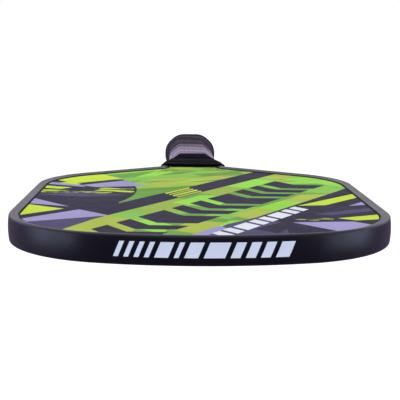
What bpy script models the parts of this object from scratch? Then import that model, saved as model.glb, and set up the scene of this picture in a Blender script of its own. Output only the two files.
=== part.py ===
"""Pickleball paddle: a honeycomb blade in a plastic edge guard, on an octagonal wrapped handle.

Metres. X runs across the blade, Y from the tip of the head (-Y) to the butt end (+Y), and Z out of
the front face. The origin is the centre of the paddle's box, so the blade's mid-plane is Z = 0.
Places along the paddle are given as a distance behind the tip, which along() turns into Y.
"""
import math

import bmesh
import bpy
from mathutils import Vector
from mathutils.geometry import intersect_point_line

# Whole paddle
LENGTH = 0.400
HEAD_HALF_WIDTH = 0.0960
GAP = 0.0003
CUT_PAST = 0.001
SHARP_ANGLE = math.radians(40)

# Outline of the head: tip arc, corner arc, straight side, shoulder arc, straight shoulder, throat arc
TIP_RADIUS = 0.190
CORNER_RADIUS = 0.063
SHOULDER_RADIUS = 0.062
SHOULDER_START = 0.1675
SHOULDER_TURN = math.radians(53.0)
NECK_HALF_WIDTH = 0.0215
THROAT_RADIUS = 0.013
TIP_STEPS = 10
CORNER_STEPS = 8
SHOULDER_STEPS = 6
THROAT_STEPS = 4

# Edge guard, a channel around the head
GUARD_HALF_HEIGHT = 0.0070
GUARD_WALL = 0.0013
GUARD_LIP = 0.0051
GUARD_LIP_EDGE = 0.0003
GUARD_CREST = ((0.0, 0.0012), (0.0004, 0.0004), (0.0012, 0.0))
GUARD_END = 0.2618

# Blade layers, as heights above the mid-plane
BLADE_INSET = 0.0016
CORE_HALF = 0.0043
SCRIM_BOTTOM = 0.0045
SCRIM_TOP = 0.0047
SHEET_BOTTOM = 0.0049
SHEET_TOP = 0.0053
FILM_BOTTOM = 0.00545
FILM_TOP = 0.00560
FILM_INSET = GUARD_LIP + 0.0004
FILM_END = 0.2614
LIP_BOTTOM = 0.00565
SHEET_END = 0.264
TONGUE_HALF_WIDTH = 0.0140
CELL_PITCH = 0.018
CELL_WALL = 0.0012
CORE_RIM = 0.003

# Handle: an octagon with cut corners, whose flats widen a little where it swells towards the butt
GRIP_HALF_WIDTH = 0.0170
GRIP_HALF_HEIGHT = 0.0130
TOP_FLAT_HALF = 0.0095
SIDE_FLAT_HALF = 0.0065
FLAT_GROWTH = 0.25
CORNER_CUT = 0.0016
BUTT_CORNER_CUT = 0.0042
GRIP_THICKNESS = 0.0020
GRIP_START = 0.2748
GRIP_END = 0.3964
GRIP_SQUEEZE = 0.0013
FLARE_START = 0.370
FLARE_LENGTH = 0.027
FLARE_OUT = 0.0040
FLARE_STATIONS = 6
TAPE_INSET = 0.0022
TAPE_THICKNESS = 0.0003
PALLET_INSET = 0.0028
PALLET_START = 0.2716
PALLET_END = 0.3942
PALLET_BOTTOM = SHEET_TOP + GAP

# Throat collar and the finishing tape under its rear sleeve
COLLAR_START = 0.2585
COLLAR_WAIST = 0.2672
COLLAR_SHOULDER = 0.2745
COLLAR_END = 0.2790
COLLAR_MOUTH_SIZE = (0.0230, 0.0080, 0.0214, 0.0072)
COLLAR_WAIST_SIZE = (0.0212, 0.0103, 0.0158, 0.0080)
COLLAR_GUARD_ROOM = 0.0006
COLLAR_OUT = 0.0004
SLOT_ROOM = 0.0004
COLLAR_BORE_INSET = 0.0005
FINISH_START = 0.2753
FINISH_END = 0.2781
FINISH_INSET = 0.00075
FINISH_THICKNESS = 0.0003

# Butt cap, its badge and its tacks
CAP_START = 0.381
CAP_STATIONS = 6
CAP_SKIRT_END = 0.3966
CAP_RIM_START = 0.3967
CAP_END = 0.3997
CAP_EDGE = 0.0008
CAP_BORE_INSET = 0.0025
CAP_BORE_END = 0.3946
BADGE_RADIUS = 0.0100
BADGE_THICKNESS = 0.0008
TACK_PLACE = 0.388
TACK_TOP = 0.0119
TACK_HEAD_HEIGHT = 0.0006
TACK_HEAD_RADIUS = 0.0016
TACK_SHANK_RADIUS = 0.0007
TACK_TIP = 0.0066
TACK_POINT = 0.0012

# Colours (linear), roughness and metallic value
LOOKS = {
    "black_plastic": ((0.018, 0.017, 0.022), 0.38, 0.0),
    "core_plastic": ((0.62, 0.62, 0.60), 0.55, 0.0),
    "scrim_cloth": ((0.74, 0.74, 0.71), 0.80, 0.0),
    "composite": ((0.045, 0.045, 0.052), 0.45, 0.0),
    "green_film": ((0.28, 0.50, 0.12), 0.32, 0.0),
    "handle_wood": ((0.46, 0.30, 0.16), 0.60, 0.0),
    "tape": ((0.58, 0.55, 0.46), 0.70, 0.0),
    "grip": ((0.060, 0.050, 0.068), 0.62, 0.0),
    "rubber": ((0.012, 0.010, 0.014), 0.55, 0.0),
    "badge": ((0.30, 0.52, 0.10), 0.30, 0.0),
    "steel": ((0.55, 0.55, 0.56), 0.32, 1.0),
}


def along(distance):
    """Y of a place given as its distance behind the tip."""
    return distance - LENGTH / 2


def clear_scene():
    for item in list(bpy.data.objects):
        bpy.data.objects.remove(item, do_unlink=True)


def new_collection(name):
    collection = bpy.data.collections.new(name)
    bpy.context.scene.collection.children.link(collection)
    return collection


def make_material(name):
    colour, roughness, metallic = LOOKS[name]
    material = bpy.data.materials.new(name)
    material.use_nodes = True
    shader = material.node_tree.nodes["Principled BSDF"]
    shader.inputs["Base Color"].default_value = (*colour, 1.0)
    shader.inputs["Roughness"].default_value = roughness
    shader.inputs["Metallic"].default_value = metallic
    material.diffuse_color = (*colour, 1.0)
    return material


def place(name, data, look, collection):
    """Put mesh or curve data in the scene as one named object with its material."""
    item = bpy.data.objects.new(name, data)
    if look is None:
        item.hide_render = True
        item.display_type = "WIRE"
    else:
        data.materials.append(make_material(look))
    collection.objects.link(item)
    return item


def arc(centre, radius, start, end, steps):
    """Points on an arc about centre; a negative radius gives the arc on the far side."""
    angles = [start + (end - start) * step / steps for step in range(steps + 1)]
    return [centre + radius * Vector((math.cos(angle), math.sin(angle))) for angle in angles]


def head_half(inset, end):
    """The head's outline at +X from the tip to a place on its neck, moved in by inset."""
    tip = Vector((0.0, TIP_RADIUS))
    corner_x = HEAD_HALF_WIDTH - CORNER_RADIUS
    corner_drop = math.sqrt((TIP_RADIUS - CORNER_RADIUS) ** 2 - corner_x ** 2)
    corner = Vector((corner_x, TIP_RADIUS - corner_drop))
    meet = math.atan2(-corner_drop, corner_x)
    shoulder = Vector((HEAD_HALF_WIDTH - SHOULDER_RADIUS, SHOULDER_START))
    outward = Vector((math.cos(SHOULDER_TURN), math.sin(SHOULDER_TURN)))
    down = Vector((-outward.y, outward.x))
    throat = shoulder + (SHOULDER_RADIUS + THROAT_RADIUS) * outward
    throat += down * (throat.x - NECK_HALF_WIDTH - THROAT_RADIUS) / outward.y
    points = arc(tip, TIP_RADIUS - inset, -math.pi / 2, meet, TIP_STEPS)
    points += arc(corner, CORNER_RADIUS - inset, meet, 0.0, CORNER_STEPS)[1:]
    points += arc(shoulder, SHOULDER_RADIUS - inset, 0.0, SHOULDER_TURN, SHOULDER_STEPS)
    points += arc(throat, -(THROAT_RADIUS + inset), SHOULDER_TURN, 0.0, THROAT_STEPS)
    points.append(Vector((NECK_HALF_WIDTH - inset, end)))
    return [Vector((point.x, along(point.y))) for point in points]


def mirrored(half):
    """A whole outline from a half that starts on the Y axis: the -X side in reverse, then the half."""
    return [Vector((-point.x, point.y)) for point in reversed(half[1:])] + half


def core_outline():
    """Closed outline of the core: the head, and a tongue that runs through the handle."""
    tongue = [Vector((TONGUE_HALF_WIDTH, along(end))) for end in (SHEET_END, PALLET_END)]
    return mirrored(head_half(BLADE_INSET, SHEET_END) + tongue)


def flat_curve(name, outlines):
    """2D curve data that is filled between closed outlines."""
    curve = bpy.data.curves.new(name, "CURVE")
    curve.dimensions = "2D"
    curve.fill_mode = "BOTH"
    curve.resolution_u = 1
    curve.render_resolution_u = 0
    for outline in outlines:
        add_spline(curve, outline, cyclic=True)
    return curve


def add_spline(curve, points, cyclic):
    spline = curve.splines.new("POLY")
    spline.points.add(len(points) - 1)
    for spot, point in zip(spline.points, points):
        spot.co = (point[0], point[1], 0.0, 1.0)
    spline.use_cyclic_u = cyclic


def layer(name, outlines, bottom, top, look, collection):
    """A flat layer of the blade between two heights."""
    curve = flat_curve(name, outlines)
    curve.extrude = abs(top - bottom) / 2
    item = place(name, curve, look, collection)
    item.location.z = (top + bottom) / 2
    return item


def sleeve(name, outer, inner, start, end, look, collection):
    """A thin sleeve of one section between two places on the handle."""
    curve = flat_curve(name, [outer, inner])
    curve.extrude = (end - start) / 2
    item = place(name, curve, look, collection)
    item.rotation_euler.x = math.pi / 2
    item.location.y = along((start + end) / 2)
    return item


def octagon(half_width, half_height, top_half, side_half):
    """Eight points (x, z) around an upright section, counter-clockwise seen from -Y."""
    quarter = [(half_width, side_half), (top_half, half_height)]
    upper = quarter + [(-x, z) for x, z in reversed(quarter)]
    return upper + [(-x, -z) for x, z in upper]


def handle_ring(inset):
    """The handle's octagon, moved in by inset."""
    growth = FLAT_GROWTH * max(-inset, 0.0)
    return octagon(GRIP_HALF_WIDTH - inset, GRIP_HALF_HEIGHT - inset,
                   TOP_FLAT_HALF + growth, SIDE_FLAT_HALF + growth)


def cut_corners(ring, reach):
    """A section with each corner cut back by reach along both of its edges."""
    corners = [Vector(point) for point in ring]
    points = []
    for before, corner, after in zip(corners[-1:] + corners[:-1], corners, corners[1:] + corners[:1]):
        points.append(tuple(corner + (before - corner).normalized() * reach))
        points.append(tuple(corner + (after - corner).normalized() * reach))
    return points


def swelling_ring(distance, inset):
    """The handle's section at a place, moved in by inset, with corners that round off at the butt."""
    reach = CORNER_CUT + (BUTT_CORNER_CUT - CORNER_CUT) * flare(distance) / FLARE_OUT
    return cut_corners(handle_ring(inset - flare(distance)), reach)


def flare(distance):
    """How far the handle swells at a place near the butt."""
    part = min(max((distance - FLARE_START) / FLARE_LENGTH, 0.0), 1.0)
    return FLARE_OUT * part ** 2


def spread(start, end, count):
    return [start + (end - start) * step / (count - 1) for step in range(count)]


def loft(name, stations, look, collection):
    """A solid through sections of equal point count: stations are (distance, [(x, z), ...])."""
    mesh = bpy.data.meshes.new(name)
    shape = bmesh.new()
    rings = [[shape.verts.new((x, along(distance), z)) for x, z in ring] for distance, ring in stations]
    for near, far in zip(rings, rings[1:]):
        for index in range(len(near)):
            following = (index + 1) % len(near)
            shape.faces.new((near[index], near[following], far[following], far[index]))
    shape.faces.new(list(reversed(rings[0])))
    shape.faces.new(rings[-1])
    bmesh.ops.recalc_face_normals(shape, faces=shape.faces)
    shape.to_mesh(mesh)
    shape.free()
    return place(name, mesh, look, collection)


def turned(name, profile, steps, look, collection):
    """A turned solid about Z from a profile (x, z) that runs down its outer side."""
    mesh = bpy.data.meshes.new(name)
    points = [(x, 0.0, z) for x, z in profile]
    mesh.from_pydata(points, [(index, index + 1) for index in range(len(points) - 1)], [])
    item = place(name, mesh, look, collection)
    screw = item.modifiers.new("turn", "SCREW")
    screw.steps = steps
    screw.render_steps = steps
    screw.use_merge_vertices = True
    screw.merge_threshold = 0.00001
    return item


def cylinder(name, radius, bottom, top, look, collection, sides=24):
    """A disc or pin about Z."""
    mesh = bpy.data.meshes.new(name)
    shape = bmesh.new()
    bmesh.ops.create_cone(shape, cap_ends=True, segments=sides, radius1=radius, radius2=radius,
                          depth=top - bottom)
    bmesh.ops.translate(shape, verts=shape.verts, vec=(0.0, 0.0, (top + bottom) / 2))
    shape.to_mesh(mesh)
    shape.free()
    return place(name, mesh, look, collection)


def cut(item, cutter):
    modifier = item.modifiers.new("cut_" + cutter.name, "BOOLEAN")
    modifier.operation = "DIFFERENCE"
    modifier.object = cutter


def shade_round(item):
    item.data.shade_smooth()
    item.data.set_sharp_from_angle(angle=SHARP_ANGLE)


def near_edge(spot, outline, reach):
    """True if spot is closer than reach to a closed outline."""
    for first, second in zip(outline, outline[1:] + outline[:1]):
        nearest, part = intersect_point_line(spot, first, second)
        part = min(max(part, 0.0), 1.0)
        if (first.lerp(second, part) - spot).length < reach:
            return True
    return False


def honeycomb_cells(outline):
    """Hexagonal holes that fill the head inside a solid rim."""
    radius = (CELL_PITCH - CELL_WALL) / math.sqrt(3)
    row_step = CELL_PITCH * math.sqrt(3) / 2
    rows = math.ceil(SHEET_END / row_step)
    columns = math.ceil(HEAD_HALF_WIDTH / CELL_PITCH)
    cells = []
    for row in range(rows):
        for column in range(-columns, columns + 1):
            spot = Vector((CELL_PITCH * (column + row % 2 / 2), along(row_step * (row + 1))))
            inside = abs(spot.x) < HEAD_HALF_WIDTH and spot.y < along(COLLAR_START)
            if inside and within(spot, outline) and not near_edge(spot, outline, radius + CORE_RIM):
                cells.append(arc(spot, radius, math.pi / 6, math.pi * 11 / 6, 5))
    return cells


def within(spot, outline):
    """True if spot is inside a closed outline, by counting the edges on its +X side."""
    crossings = 0
    for first, second in zip(outline, outline[1:] + outline[:1]):
        if (first.y > spot.y) != (second.y > spot.y):
            part = (spot.y - first.y) / (second.y - first.y)
            crossings += first.x + part * (second.x - first.x) > spot.x
    return crossings % 2 == 1


def build_blade(parts):
    outline = core_outline()
    layer("honeycomb_core", [outline] + honeycomb_cells(outline), -CORE_HALF, CORE_HALF,
          "core_plastic", parts)
    sheet_outline = mirrored(head_half(BLADE_INSET, SHEET_END))
    film_outline = mirrored(head_half(FILM_INSET, FILM_END))
    for side, facing in (("front", 1), ("back", -1)):
        layer("core_scrim_" + side, [sheet_outline], facing * SCRIM_BOTTOM, facing * SCRIM_TOP,
              "scrim_cloth", parts)
        layer("face_sheet_" + side, [sheet_outline], facing * SHEET_BOTTOM, facing * SHEET_TOP,
              "composite", parts)
        layer("graphic_film_" + side, [film_outline], facing * FILM_BOTTOM, facing * FILM_TOP,
              "green_film", parts)


def guard_profile():
    """Section of the edge guard: (distance in from its outer wall, height)."""
    crest = [(inward, GUARD_HALF_HEIGHT - drop) for inward, drop in GUARD_CREST]
    lip = [(GUARD_LIP, LIP_BOTTOM + GUARD_LIP_EDGE), (GUARD_LIP, LIP_BOTTOM), (GUARD_WALL, LIP_BOTTOM)]
    upper = crest + lip
    return upper + [(inward, -height) for inward, height in reversed(upper)]


def build_guard(parts, helpers):
    profile = bpy.data.curves.new("guard_profile", "CURVE")
    profile.dimensions = "2D"
    add_spline(profile, guard_profile(), cyclic=True)
    section = place("guard_profile", profile, None, helpers)
    path = bpy.data.curves.new("edge_guard", "CURVE")
    path.dimensions = "2D"
    path.render_resolution_u = 0
    path.bevel_mode = "OBJECT"
    path.bevel_object = section
    path.use_fill_caps = True
    route = mirrored(head_half(0.0, GUARD_END))
    add_spline(path, list(reversed(route)), cyclic=False)
    place("edge_guard", path, "black_plastic", parts)


def pallet_ring(facing):
    """Half an octagon that sits on one face of the tongue."""
    right = GRIP_HALF_WIDTH - PALLET_INSET
    top = GRIP_HALF_HEIGHT - PALLET_INSET
    half = [(right, PALLET_BOTTOM), (right, SIDE_FLAT_HALF), (TOP_FLAT_HALF, top)]
    return [(x, facing * z) for x, z in half] + [(-x, facing * z) for x, z in reversed(half)]


def build_handle(parts, helpers):
    for side, facing in (("front", 1), ("back", -1)):
        ring = pallet_ring(facing)
        pallet = loft("handle_pallet_" + side, [(PALLET_START, ring), (PALLET_END, ring)],
                      "handle_wood", parts)
        hole_ends = sorted((facing * (TACK_TIP - GAP), facing * GRIP_HALF_HEIGHT))
        hole = cylinder("tack_hole_" + side, TACK_SHANK_RADIUS + GAP, *hole_ends, None, helpers, sides=12)
        hole.location.y = along(TACK_PLACE)
        cut(pallet, hole)
    sleeve("grip_adhesive_tape", handle_ring(TAPE_INSET), handle_ring(TAPE_INSET + TAPE_THICKNESS),
           GRIP_START, CAP_START - GAP, "tape", parts)
    sleeve("finishing_tape", handle_ring(FINISH_INSET), handle_ring(FINISH_INSET + FINISH_THICKNESS),
           FINISH_START, FINISH_END, "tape", parts)
    build_grip(parts, helpers)


def build_grip(parts, helpers):
    swell = spread(FLARE_START, GRIP_END, FLARE_STATIONS)
    squeezed = cut_corners(handle_ring(GRIP_SQUEEZE), CORNER_CUT)
    outer = [(GRIP_START, squeezed), (COLLAR_END + GAP, squeezed),
             (COLLAR_END + GRIP_SQUEEZE, swelling_ring(COLLAR_END, 0.0))]
    outer += [(distance, swelling_ring(distance, 0.0)) for distance in swell]
    grip = loft("cushion_grip", outer, "grip", parts)
    inner = [(GRIP_START - GAP, handle_ring(GRIP_THICKNESS))]
    inner += [(distance, handle_ring(GRIP_THICKNESS - flare(distance))) for distance in swell]
    inner += [(GRIP_END + GAP, inner[-1][1])]
    cut(grip, loft("grip_bore", inner, None, helpers))


def build_collar(parts, helpers):
    """Flared boot that runs from the blade's face up to the handle's octagon."""
    rear = handle_ring(-COLLAR_OUT)
    stations = [(COLLAR_START, octagon(*COLLAR_MOUTH_SIZE)), (COLLAR_WAIST, octagon(*COLLAR_WAIST_SIZE)),
                (COLLAR_SHOULDER, rear), (COLLAR_END, rear)]
    collar = loft("throat_collar", stations, "rubber", parts)
    sheet_room = SHEET_TOP + SLOT_ROOM
    neck_room = (NECK_HALF_WIDTH - BLADE_INSET + SLOT_ROOM, sheet_room)
    cut(collar, slot("collar_neck_slot", neck_room, COLLAR_START - CUT_PAST, SHEET_END + GAP, helpers))
    guard_room = (NECK_HALF_WIDTH + COLLAR_GUARD_ROOM, GUARD_HALF_HEIGHT + GAP)
    cut(collar, slot("collar_guard_slot", guard_room, COLLAR_START - CUT_PAST, GUARD_END + GAP, helpers))
    tongue_room = (TONGUE_HALF_WIDTH + SLOT_ROOM, sheet_room)
    cut(collar, slot("collar_tongue_slot", tongue_room, SHEET_END, COLLAR_END + CUT_PAST, helpers))
    pallet_room = handle_ring(PALLET_INSET - GAP)
    cut(collar, loft("collar_pallet_room", [(PALLET_START - GAP, pallet_room), (COLLAR_END, pallet_room)],
                     None, helpers))
    bore = handle_ring(COLLAR_BORE_INSET)
    cut(collar, loft("collar_bore", [(GRIP_START - GAP, bore), (COLLAR_END + CUT_PAST, bore)], None, helpers))


def slot(name, half_size, start, end, helpers):
    """A cutter for the room that the blade's layers or its guard take up in the collar."""
    half_width, half_height = half_size
    ring = [(half_width, -half_height), (half_width, half_height),
            (-half_width, half_height), (-half_width, -half_height)]
    return loft(name, [(start, ring), (end, ring)], None, helpers)


def build_butt(parts, helpers):
    skirt = [(distance, swelling_ring(distance, GRIP_THICKNESS + GAP))
             for distance in spread(CAP_START, CAP_SKIRT_END, CAP_STATIONS)]
    rim = [(CAP_RIM_START, swelling_ring(CAP_END, 0.0)), (CAP_END - CAP_EDGE, swelling_ring(CAP_END, 0.0)),
           (CAP_END, swelling_ring(CAP_END, CAP_EDGE))]
    cap = loft("butt_cap", skirt + rim, "black_plastic", parts)
    bore = handle_ring(CAP_BORE_INSET)
    cut(cap, loft("cap_bore", [(CAP_START - CUT_PAST, bore), (CAP_BORE_END, bore)], None, helpers))

    recess_floor = LENGTH - BADGE_THICKNESS - GAP
    recess = cylinder("badge_recess", BADGE_RADIUS + GAP, recess_floor, LENGTH + CUT_PAST, None, helpers)
    badge = cylinder("butt_cap_badge", BADGE_RADIUS, LENGTH - BADGE_THICKNESS, LENGTH, "badge", parts)
    for item in (recess, badge):
        item.rotation_euler.x = -math.pi / 2
        item.location.y = -LENGTH / 2
    cut(cap, recess)
    shade_round(badge)

    for side, facing in (("front", 1), ("back", -1)):
        tack = turned("butt_cap_tack_" + side, tack_profile(0.0), 12, "steel", parts)
        room = turned("tack_room_" + side, tack_profile(GAP), 12, None, helpers)
        for item in (tack, room):
            item.location.y = along(TACK_PLACE)
            item.rotation_euler.x = 0.0 if facing > 0 else math.pi
        cut(cap, room)
        shade_round(tack)


def tack_profile(clearance):
    """Half section of a tack; with a clearance it is the room that the tack needs in the cap."""
    top = TACK_TOP if clearance == 0.0 else GRIP_HALF_HEIGHT + FLARE_OUT
    under_head = TACK_TOP - TACK_HEAD_HEIGHT - clearance
    head = TACK_HEAD_RADIUS + clearance
    shank = TACK_SHANK_RADIUS + clearance
    return [(0.0, top), (head, top), (head, under_head), (shank, under_head),
            (shank, TACK_TIP + TACK_POINT), (0.0, TACK_TIP - clearance)]


def main():
    clear_scene()
    parts = new_collection("pickleball_paddle")
    helpers = new_collection("cutters")
    build_blade(parts)
    build_guard(parts, helpers)
    build_handle(parts, helpers)
    build_collar(parts, helpers)
    build_butt(parts, helpers)


main()
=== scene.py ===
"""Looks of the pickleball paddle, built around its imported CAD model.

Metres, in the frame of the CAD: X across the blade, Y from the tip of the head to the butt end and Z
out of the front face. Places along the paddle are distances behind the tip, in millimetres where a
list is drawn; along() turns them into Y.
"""
import math

import bmesh
import bpy
from mathutils import Matrix, Vector, noise
from mathutils.geometry import delaunay_2d_cdt


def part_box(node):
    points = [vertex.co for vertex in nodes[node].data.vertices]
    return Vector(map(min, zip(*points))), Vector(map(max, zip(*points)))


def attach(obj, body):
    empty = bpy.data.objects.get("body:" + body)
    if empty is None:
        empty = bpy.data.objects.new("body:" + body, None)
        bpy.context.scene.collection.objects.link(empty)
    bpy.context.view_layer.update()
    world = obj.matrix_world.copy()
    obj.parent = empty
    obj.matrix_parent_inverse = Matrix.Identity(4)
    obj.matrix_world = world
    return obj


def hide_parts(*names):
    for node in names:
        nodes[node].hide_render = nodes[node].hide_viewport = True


MM = 0.001
CLEARANCE = 0.0003

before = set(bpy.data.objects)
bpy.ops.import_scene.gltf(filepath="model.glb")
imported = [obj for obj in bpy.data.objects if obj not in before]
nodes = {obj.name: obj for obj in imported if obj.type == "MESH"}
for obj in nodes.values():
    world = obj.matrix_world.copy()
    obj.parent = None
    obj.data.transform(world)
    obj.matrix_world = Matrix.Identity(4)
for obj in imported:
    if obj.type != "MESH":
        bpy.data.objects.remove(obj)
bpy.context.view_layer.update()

# Places read from the CAD
GUARD_LOW, GUARD_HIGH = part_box("edge_guard")
FILM_LOW, FILM_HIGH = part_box("graphic_film_front")
COLLAR_LOW, COLLAR_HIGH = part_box("throat_collar")
GRIP_LOW, GRIP_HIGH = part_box("cushion_grip")
CAP_LOW, CAP_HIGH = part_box("butt_cap")
BADGE_LOW, BADGE_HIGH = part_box("butt_cap_badge")
TIP_Y = GUARD_LOW.y
HALF_WIDTH = GUARD_HIGH.x
GUARD_TOP = GUARD_HIGH.z

# The head's outline, as the CAD draws it
TIP_RADIUS = 0.190
CORNER_RADIUS = 0.063
SHOULDER_RADIUS = 0.062
SHOULDER_START = 0.1675
SHOULDER_TURN = math.radians(53.0)
NECK_HALF_WIDTH = 0.0215
THROAT_RADIUS = 0.013
ROUTE_STEP = 0.0018

# The edge guard's section: its lips lie on the film, and its wall is slightly crowned
GUARD_WALL = 0.0013
GUARD_LIP = FILM_LOW.x - GUARD_LOW.x - 0.0004
LIP_UNDERSIDE = FILM_HIGH.z + 0.00005
LIP_EDGE = 0.00045
LIP_SAG = 0.00012
CREST_RADIUS = 0.0015
WALL_CROWN = 0.00035

# The handle's octagon: half width, half height, half its top flat, half its side flat
HANDLE = (0.0170, 0.0130, 0.0095, 0.0065)
FLAT_GROWTH = 0.25
GRIP_ROUNDING = 0.0045
BUTT_ROUNDING = 0.0145
INNER_ROUNDING = 0.0030
GRIP_THICKNESS = 0.0020
FLARE_OUT = GRIP_HIGH.x - HANDLE[0]
FLARE_START = 0.370
WRAP_PITCH = 0.0216
WRAP_PHASE = 0.2966
WRAP_STEP = 0.00085
WRAP_TURN = 0.102
RING_POINTS = 128
GRIP_STATIONS = 400
COLLAR_STATIONS = 90


def along(distance):
    """Y of a place given as its distance behind the tip."""
    return TIP_Y + distance


def behind_tip(y):
    """Distance behind the tip of a place given as its Y."""
    return y - TIP_Y


# ---------- shapes

def arc_route(centre, radius, start, end, facing=1.0):
    """(point, outward normal) pairs along an arc; facing is -1 where the arc's centre is outside."""
    count = max(2, math.ceil(abs(end - start) * radius / ROUTE_STEP))
    pairs = []
    for step in range(count + 1):
        angle = start + (end - start) * step / count
        outward = Vector((math.cos(angle), math.sin(angle)))
        pairs.append((centre + facing * radius * outward, outward))
    return pairs


def head_route(end):
    """(point, outward normal) pairs around the guard, from its -X end by the tip to its +X end."""
    tip = Vector((0.0, TIP_RADIUS))
    corner_x = HALF_WIDTH - CORNER_RADIUS
    corner_drop = math.sqrt((TIP_RADIUS - CORNER_RADIUS) ** 2 - corner_x ** 2)
    corner = Vector((corner_x, TIP_RADIUS - corner_drop))
    meet = math.atan2(-corner_drop, corner_x)
    shoulder = Vector((HALF_WIDTH - SHOULDER_RADIUS, SHOULDER_START))
    outward = Vector((math.cos(SHOULDER_TURN), math.sin(SHOULDER_TURN)))
    down = Vector((-outward.y, outward.x))
    throat = shoulder + (SHOULDER_RADIUS + THROAT_RADIUS) * outward
    throat += down * (throat.x - NECK_HALF_WIDTH - THROAT_RADIUS) / outward.y
    half = arc_route(tip, TIP_RADIUS, -math.pi / 2, meet)
    half += arc_route(corner, CORNER_RADIUS, meet, 0.0)[1:]
    half += arc_route(shoulder, SHOULDER_RADIUS, 0.0, SHOULDER_TURN)
    half += arc_route(throat, THROAT_RADIUS, SHOULDER_TURN, 0.0, facing=-1.0)
    half.append((Vector((NECK_HALF_WIDTH, end)), Vector((1.0, 0.0))))
    half = [(Vector((point.x, along(point.y))), normal) for point, normal in half]
    other = [(Vector((-point.x, point.y)), Vector((-normal.x, normal.y))) for point, normal in half[1:]]
    return other[::-1] + half


def skin(name, rings, closed=False):
    """A solid through rings of equal point count, capped at both ends or closed into a loop."""
    shape = bmesh.new()
    rows = [[shape.verts.new(point) for point in ring] for ring in rings]
    pairs = list(zip(rows, rows[1:]))
    if closed:
        pairs.append((rows[-1], rows[0]))
    for near, far in pairs:
        for index in range(len(near)):
            following = (index + 1) % len(near)
            shape.faces.new((near[index], near[following], far[following], far[index]))
    if not closed:
        shape.faces.new(rows[0][::-1])
        shape.faces.new(rows[-1])
    bmesh.ops.recalc_face_normals(shape, faces=shape.faces)
    if shape.calc_volume(signed=True) < 0:
        bmesh.ops.reverse_faces(shape, faces=shape.faces)
    return from_shape(name, shape)


def from_shape(name, shape):
    """A new mesh object from a bmesh, which is used up."""
    mesh = bpy.data.meshes.new(name)
    shape.to_mesh(mesh)
    shape.free()
    return link(name, mesh)


def link(name, data):
    """A new object in the scene."""
    item = bpy.data.objects.new(name, data)
    bpy.context.scene.collection.objects.link(item)
    return item


def smooth(item, angle):
    """Smooth shading, with hard edges where faces meet at more than an angle in degrees."""
    item.data.shade_smooth()
    item.data.set_sharp_from_angle(angle=math.radians(angle))


def dress(item, material, replaced):
    """Give a piece its material, the CAD nodes it replaces and its body."""
    item.data.materials.append(material)
    if replaced:
        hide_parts(*replaced)
    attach(item, "root")


def octagon(size):
    """Corners of an upright octagon from (half width, half height, half top flat, half side flat)."""
    half_width, half_height, top_half, side_half = size
    quarter = [Vector((half_width, side_half)), Vector((top_half, half_height))]
    upper = quarter + [Vector((-point.x, point.y)) for point in reversed(quarter)]
    return upper + [-point for point in upper]


def rounded_ring(size, rounding):
    """Evenly spaced (point, outward normal) pairs around an octagon with rounded corners."""
    corners = octagon(size)
    path = []
    for index, corner in enumerate(corners):
        before = (corners[index - 1] - corner).normalized()
        after = (corners[(index + 1) % len(corners)] - corner).normalized()
        half_angle = before.angle(after) / 2
        reach = rounding / math.tan(half_angle)
        centre = corner + (before + after).normalized() * rounding / math.sin(half_angle)
        start = (corner + before * reach - centre).normalized()
        end = (corner + after * reach - centre).normalized()
        for part in spread(0.0, 1.0, 9):
            outward = start.slerp(end, part)
            path.append((centre + outward * rounding, outward))
    return evenly_spaced(path, RING_POINTS)


def evenly_spaced(path, count):
    """Resample a closed path of (point, normal) pairs at equal steps along it."""
    path = path + path[:1]
    lengths = [0.0]
    for (first, _), (second, _) in zip(path, path[1:]):
        lengths.append(lengths[-1] + (second - first).length)
    pairs = []
    segment = 0
    for index in range(count):
        wanted = lengths[-1] * index / count
        while lengths[segment + 1] < wanted:
            segment += 1
        part = (wanted - lengths[segment]) / max(lengths[segment + 1] - lengths[segment], 1e-9)
        (first, first_normal), (second, second_normal) = path[segment], path[segment + 1]
        pairs.append((first.lerp(second, part), first_normal.lerp(second_normal, part).normalized()))
    return pairs


def grown(size, amount):
    """A handle octagon moved out by amount; its flats widen a little as it grows."""
    half_width, half_height, top_half, side_half = size
    widening = FLAT_GROWTH * max(amount, 0.0)
    return (half_width + amount, half_height + amount, top_half + widening, side_half + widening)


def ease(part):
    """A smooth step from 0 to 1."""
    part = min(max(part, 0.0), 1.0)
    return part * part * (3.0 - 2.0 * part)


def between(stations, distance):
    """Values at a place between stations [(distance, (values...)), ...], eased in and out."""
    for (near, first), (far, second) in zip(stations, stations[1:]):
        if distance <= far:
            part = ease((distance - near) / (far - near))
            return tuple(a + (b - a) * part for a, b in zip(first, second))
    return stations[-1][1]


def upright(pairs, distance):
    """Ring points in 3D from the (point, normal) pairs of a section."""
    return [(point.x, along(distance), point.y) for point, _ in pairs]


def spread(start, end, count):
    """Evenly spaced values from start to end."""
    return [start + (end - start) * step / (count - 1) for step in range(count)]


# ---------- material nodes

def srgb(red, green, blue):
    """Linear colour from 0-255 display values."""
    def linear(value):
        value /= 255
        return value / 12.92 if value <= 0.04045 else ((value + 0.055) / 1.055) ** 2.4
    return (linear(red), linear(green), linear(blue), 1.0)


PLASTIC_SHEEN = srgb(208, 172, 244)
RUBBER_TINT = srgb(150, 120, 200)
NOISE_LOW, NOISE_HIGH = 0.3, 0.7


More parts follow.
